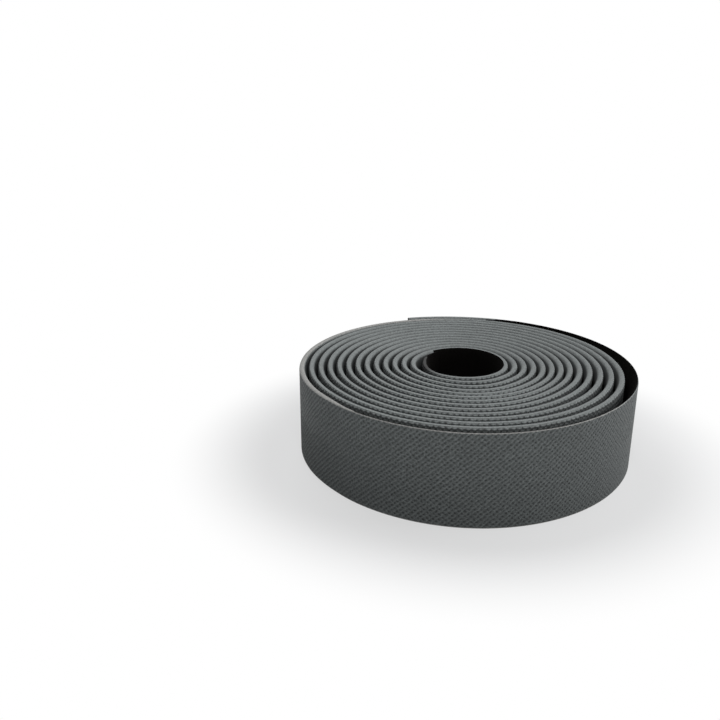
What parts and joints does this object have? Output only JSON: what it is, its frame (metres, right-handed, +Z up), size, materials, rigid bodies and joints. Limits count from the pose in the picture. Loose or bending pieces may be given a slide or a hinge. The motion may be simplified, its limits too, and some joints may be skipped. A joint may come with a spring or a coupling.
{
  "type": "handlebar tape roll",
  "caption": "Padded grey handlebar tape with a fine diamond grain, wound up into a flat open-centred coil that lies on the strip's edges.",
  "frame": {"origin": "middle of the roll's outline seen from above, on the surface that the roll lies on", "axes": "+Z up along the roll's axis, across the strip's width; seen from above, the strip winds counter-clockwise from the inside out and ends at the back, on the +Y side"},
  "size_m": [0.1136, 0.1156, 0.03],
  "materials": {
    "padded_tape": "soft matte polyurethane skin with a fine diamond grain, mid grey, on a black foam back"
  },
  "bodies": {
    "root": {"tape": "padded_tape"}
  },
  "joints": []
}
